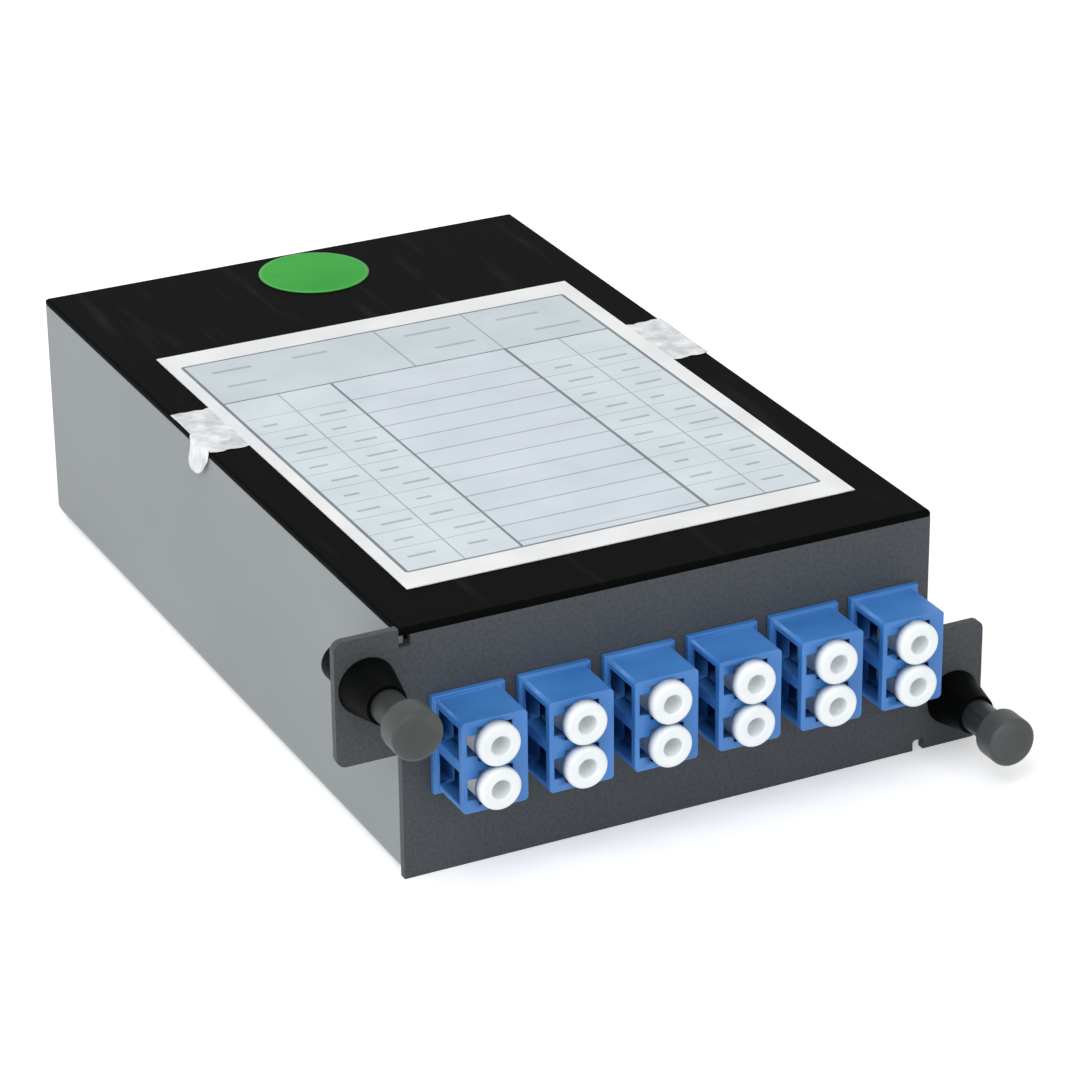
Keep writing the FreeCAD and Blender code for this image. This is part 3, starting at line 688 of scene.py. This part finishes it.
label_form = mesh_piece("label_form", label_sheet(), INKS, "cassette", ["label"])
print("printed faces:", len(label_form.data.polygons))

# %% [markdown]
# The tabs seal the lid. Each is a strip of the same paper that crosses the lid to its edge, and a
# narrower tongue of it is folded down over the tray's wall. A cloth simulation could crumple it,
# but it would need seconds of settling for a few millimetres of paper. So it is made as the real
# one is: a flat sheet, finely divided, whose points are then folded over the edge by a formula.
# Smooth noise creases it, because paper that has been pressed over an edge never lies flat again,
# and its cut edges are a little ragged. The tongue narrows to a round tip, which has come away
# from the wall.

# %% Measures of the seal tabs
LID_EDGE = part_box("lid")[1].x / MM
TAB_Y = (-1.9, 13.1)
TONGUE_Y = (-1.2, 5.6)
TONGUE_DROP = 0.88 * (LID_TOP - label_low.z) / MM
STEP = 0.25
LOW, HIGH = 0.03, 0.12
RAGGED = 0.7
TIP_OUT, TIP_ROUND, TIP_TAPER = 1.1, 0.22, 0.35
print("tongue in mm:", round(TONGUE_Y[1] - TONGUE_Y[0], 2), "by", round(TONGUE_DROP, 2))

# %% Folded paper


def crease(a, b):
    """Height of the creased paper in mm: never under the surface, nor over the label's top."""
    wave = noise.noise(Vector((a / 2.0, b / 2.0, 3.7)))
    wave += 0.6 * noise.noise(Vector((a / 0.8, b / 0.8, 8.1)))
    return LOW + (HIGH - LOW) * max(0.0, min(1.0, 0.5 + 0.9 * wave))


def middle_and_reach(span, y):
    """Middle of a span, and how far out y lies from it: -1 and 1 are the ends."""
    middle, half = sum(span) / 2, (span[1] - span[0]) / 2
    return middle, (y - middle) / half


def torn(out, y):
    """The same y once the two cut edges of the strip are a little ragged."""
    _, reach = middle_and_reach(TAB_Y, y)
    bite = max(0.0, noise.noise(Vector((out / 1.6, reach, 5.0))) + 0.1)
    return y - RAGGED * bite * reach**5


def fold(out, y):
    """Where a point of the flat strip goes: (out, y, up) in mm, up from the top of the lid."""
    over = out - LID_EDGE
    if over <= 0:
        return out, torn(out, y), crease(out, y)
    middle, reach = middle_and_reach(TONGUE_Y, y)
    over *= 1 - TIP_ROUND * reach**4
    down = over / TONGUE_DROP
    taper = 1 - TIP_TAPER * down**1.5 - 0.06 * noise.noise(Vector((over, y, 1.3)))
    out = LID_EDGE + crease(over, y) + TIP_OUT * down**2
    return out, middle + (y - middle) * taper, HIGH / 2 - over


print("a point 2 mm past the edge goes to", [round(v, 2) for v in fold(LID_EDGE + 2, TAB_Y[0] + 4)])

# %% Seal tabs


def seal_tab(side):
    """Wide strip on the lid and narrow tongue down the wall, as one folded sheet."""
    bm = bmesh.new()
    add_sheet(bm, SHEET_X - 0.5, LID_EDGE, *TAB_Y, 0, STEP)
    add_sheet(bm, LID_EDGE, LID_EDGE + TONGUE_DROP, *TONGUE_Y, 0, STEP)
    for vert in bm.verts:
        out, y, up = fold(vert.co.x / MM, vert.co.y / MM)
        vert.co = (side * out * MM, y * MM, LID_TOP + up * MM)
    bmesh.ops.recalc_face_normals(bm, faces=bm.faces)
    return bm


for side, word in ((-1, "left"), (1, "right")):
    tab = mesh_piece(f"seal_tab_{word}", seal_tab(side), [creased_stock_painted_shade], "cassette")
    thickness = tab.modifiers.new("paper", "SOLIDIFY")
    thickness.thickness = 0.04 * MM
    thickness.offset = 0
    print(tab.name, "faces:", len(tab.data.polygons))

# %% [markdown]
# The sticker is a punched disc. Its outer ring is a paler green, where the ink stops short of the
# cut. One inset of the top face makes that ring, which then takes a material of its own.

# %% Round sticker
INK_STOP = 0.5


def round_sticker():
    """Thin disc whose rim is a little paler than its middle."""
    low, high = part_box("round_sticker")
    radius = (high.x - low.x) / 2
    bm = bmesh.new()
    bmesh.ops.create_cone(
        bm, cap_ends=True, segments=72, radius1=radius, radius2=radius, depth=high.z - low.z,
        matrix=Matrix.Translation((low + high) / 2),
    )
    top = [f for f in bm.faces if f.calc_center_median().z > high.z - 1e-6]
    inset = bmesh.ops.inset_region(
        bm, faces=top, thickness=INK_STOP * MM, depth=0, use_even_offset=True
    )
    for face in inset["faces"]:
        face.material_index = 1
    return bm


greens = [sticker_green, sticker_edge]
disc = mesh_piece("sticker_disc", round_sticker(), greens, "cassette", ["round_sticker"])
print("sticker faces:", len(disc.data.polygons))

# %% [markdown]
# ## Inside
#
# The harness is shut in and can't be seen, so its CAD shapes stay as they are and only take their
# finish. A node's name starts with what it is, and that picks the material.

# %% Finishes of the inner pieces
INNER = {
    "lc_plug": plug_pbt,
    "fibre_lead": yellow_jacket,
    "ribbon_cable": yellow_jacket,
    "fibre_guide": guide_abs,
    "fanout_bracket": guide_abs,
    "fanout_block": port_pbt,
    "mpo_plug": port_pbt,
    "mpo_collar": collar_pbt,
    "mpo_boot": boot_rubber,
    "mt_ferrule": ferrule_compound,
}
finished = 0
for node, piece in frame["nodes"].items():
    for start, material in INNER.items():
        if node.startswith(start):
            piece.data.materials.clear()
            piece.data.materials.append(material)
            finished += 1
print("inner pieces finished:", finished)

# %% [markdown]
# ## Studio
#
# The cassette stands on a white floor under plain soft light. A brighter lamp would turn the floor
# white, but it would bleach the pale pieces too. So the background gets its white only where it is
# looked at: by the camera, in a reflection or through glass. There the floor adds a little light of
# its own, too little to hide the shadow, and the world has its full strength. As a lamp the world
# is dimmer, and a colour renders about as it is written.

# %% Rays that see the background


def seen_directly(owner):
    """Socket that is 1 for the camera, a reflection and a ray through glass, and 0 for light."""
    path = add_node(owner, "ShaderNodeLightPath").outputs
    rays = add_node(owner, "ShaderNodeMath", {0: path["Is Camera Ray"], 1: path["Is Glossy Ray"]})
    rays = add_node(
        owner, "ShaderNodeMath", {0: rays.outputs[0], 1: path["Is Transmission Ray"]}, use_clamp=True
    )
    return rays.outputs[0]


print("rays that see the background: camera, glossy and transmission")

# %% Floor
FLOOR_LIFT = 0.35
FLOOR_HALF_M = 6.0


def white_sweep():
    """Matt white floor that reaches full white where it is seen."""
    material, shader, place = new_material("white_sweep")
    cloud = add_node(material, "ShaderNodeTexNoise", {"Vector": place, "Scale": 1 / (300 * MM)})
    tones = {"Factor": cloud.outputs["Fac"], "A": linear("#fafafa"), "B": linear("#ffffff")}
    tone = add_node(material, "ShaderNodeMix", tones, data_type="RGBA")
    lift = add_node(material, "ShaderNodeMapRange", {
        "Value": seen_directly(material), "To Min": 0.0, "To Max": FLOOR_LIFT,
    })
    feed(material, shader, {
        "Base Color": tone.outputs["Result"], "Roughness": 0.9, "Specular IOR Level": 0.0,
        "Emission Color": linear("#ffffff"), "Emission Strength": lift.outputs["Result"],
    })
    return material


floor_bm = bmesh.new()
bmesh.ops.create_grid(floor_bm, x_segments=2, y_segments=2, size=FLOOR_HALF_M)
floor_mesh = bpy.data.meshes.new("floor")
floor_bm.to_mesh(floor_mesh)
floor_bm.free()
floor_mesh.materials.append(white_sweep())
floor = bpy.data.objects.new("floor", floor_mesh)
bpy.context.scene.collection.objects.link(floor)
print("floor faces:", len(floor_mesh.polygons))

# %% World
AMBIENT = 0.5
world = bpy.data.worlds.new("studio")
bpy.context.scene.world = world
world.use_nodes = True
strength = add_node(world, "ShaderNodeMapRange", {
    "Value": seen_directly(world), "To Min": AMBIENT, "To Max": 1.0,
})
feed(world, world.node_tree.nodes["Background"], {
    "Color": linear("#ffffff"), "Strength": strength.outputs["Result"],
})
print("world nodes:", len(world.node_tree.nodes))

# %% [markdown]
# Four square area lamps stand about a metre off. Each is larger than the cassette, so that its
# shadows have soft edges. The key is high on the left, the one at the left opens up the tray's
# wall, the front one lights the ports, and the top one evens out the label.

# %% Lamps
AIM = Vector((0, 0, 0.018))


def softbox(name, place, size, watts):
    """Square area lamp that faces the middle of the cassette."""
    data = bpy.data.lights.new(name, "AREA")
    data.shape = "SQUARE"
    data.size = size
    data.energy = watts
    lamp = bpy.data.objects.new(name, data)
    bpy.context.scene.collection.objects.link(lamp)
    turn = (AIM - Vector(place)).to_track_quat("-Z", "Y").to_matrix().to_4x4()
    lamp.matrix_world = Matrix.Translation(place) @ turn
    print(name, "stands", round((AIM - Vector(place)).length, 2), "m away")


softbox("key", (-0.55, -0.55, 0.95), 0.6, 4.5)
softbox("left", (-0.95, -0.1, 0.4), 0.6, 2.2)
softbox("front", (0.1, -1.1, 0.45), 0.6, 2.6)
softbox("top", (0.0, 0.1, 1.1), 0.8, 1.0)

# %% [markdown]
# The camera stands in front of the cassette, to its left and above it, about 0.6 m away, with a
# long lens, so that the far edges shrink only a little. It could be aimed with a Track To
# constraint. Here its own axes are written out instead, because they also hold its slight roll.

# %% Camera
WIDTH_PX, FOCAL_PX = 1070, 4127.8
camera_data = bpy.data.cameras.new("camera")
camera_data.sensor_width = 36
camera_data.lens = FOCAL_PX / WIDTH_PX * camera_data.sensor_width
camera_data.clip_start = 0.01
camera = bpy.data.objects.new("camera", camera_data)
bpy.context.scene.collection.objects.link(camera)
forward = Vector((0.40037, 0.81320, -0.42239)).normalized()
right = Vector((0.89515, -0.44566, -0.00951)).normalized()
up = right.cross(forward)
turn = Matrix((right, up, -forward)).transposed().to_4x4()
camera.matrix_world = Matrix.Translation(Vector((-0.2288, -0.4881, 0.2655))) @ turn
bpy.context.scene.camera = camera
print("lens in mm:", round(camera_data.lens, 1))

bpy.context.scene.view_settings.view_transform = "Standard"
